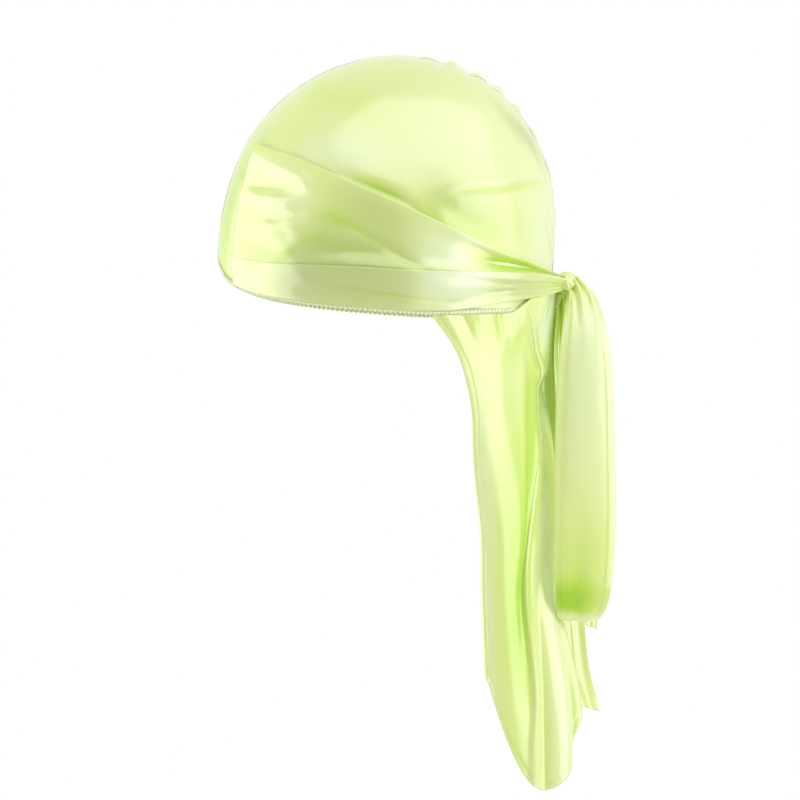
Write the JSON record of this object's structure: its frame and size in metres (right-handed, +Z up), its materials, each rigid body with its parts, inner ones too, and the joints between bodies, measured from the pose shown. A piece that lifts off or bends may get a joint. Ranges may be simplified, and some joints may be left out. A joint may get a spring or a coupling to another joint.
{
  "type": "durag",
  "caption": "Satin durag tied as worn: seamed crown, pleated tie bands drawn back to a nape knot with a bow loop and loose ends, and a long folded tail.",
  "frame": {"origin": "inside the crown, at its top, where the wearer's head touches it", "axes": "+Z up, -Y towards the face, +X towards the wearer's left; the tail hangs down along -Z behind the neck"},
  "size_m": [0.1658, 0.2391, 0.4417],
  "materials": {
    "satin": "lime polyester satin, glossy face",
    "seam_allowance": "lime satin, overlocked raw edge",
    "edging_thread": "lime overlock thread, matt"
  },
  "bodies": {
    "root": {"crown_panel_left": "satin", "crown_panel_right": "satin", "centre_seam": "seam_allowance", "hem_edging": "edging_thread", "tie_band_left": "satin", "tie_band_right": "satin", "tie_knot": "satin", "bow_loop": "satin", "tie_end_long": "satin", "tie_end_short": "satin", "tail_panel_left": "satin", "tail_panel_right": "satin", "tail_seam": "seam_allowance"}
  },
  "joints": []
}
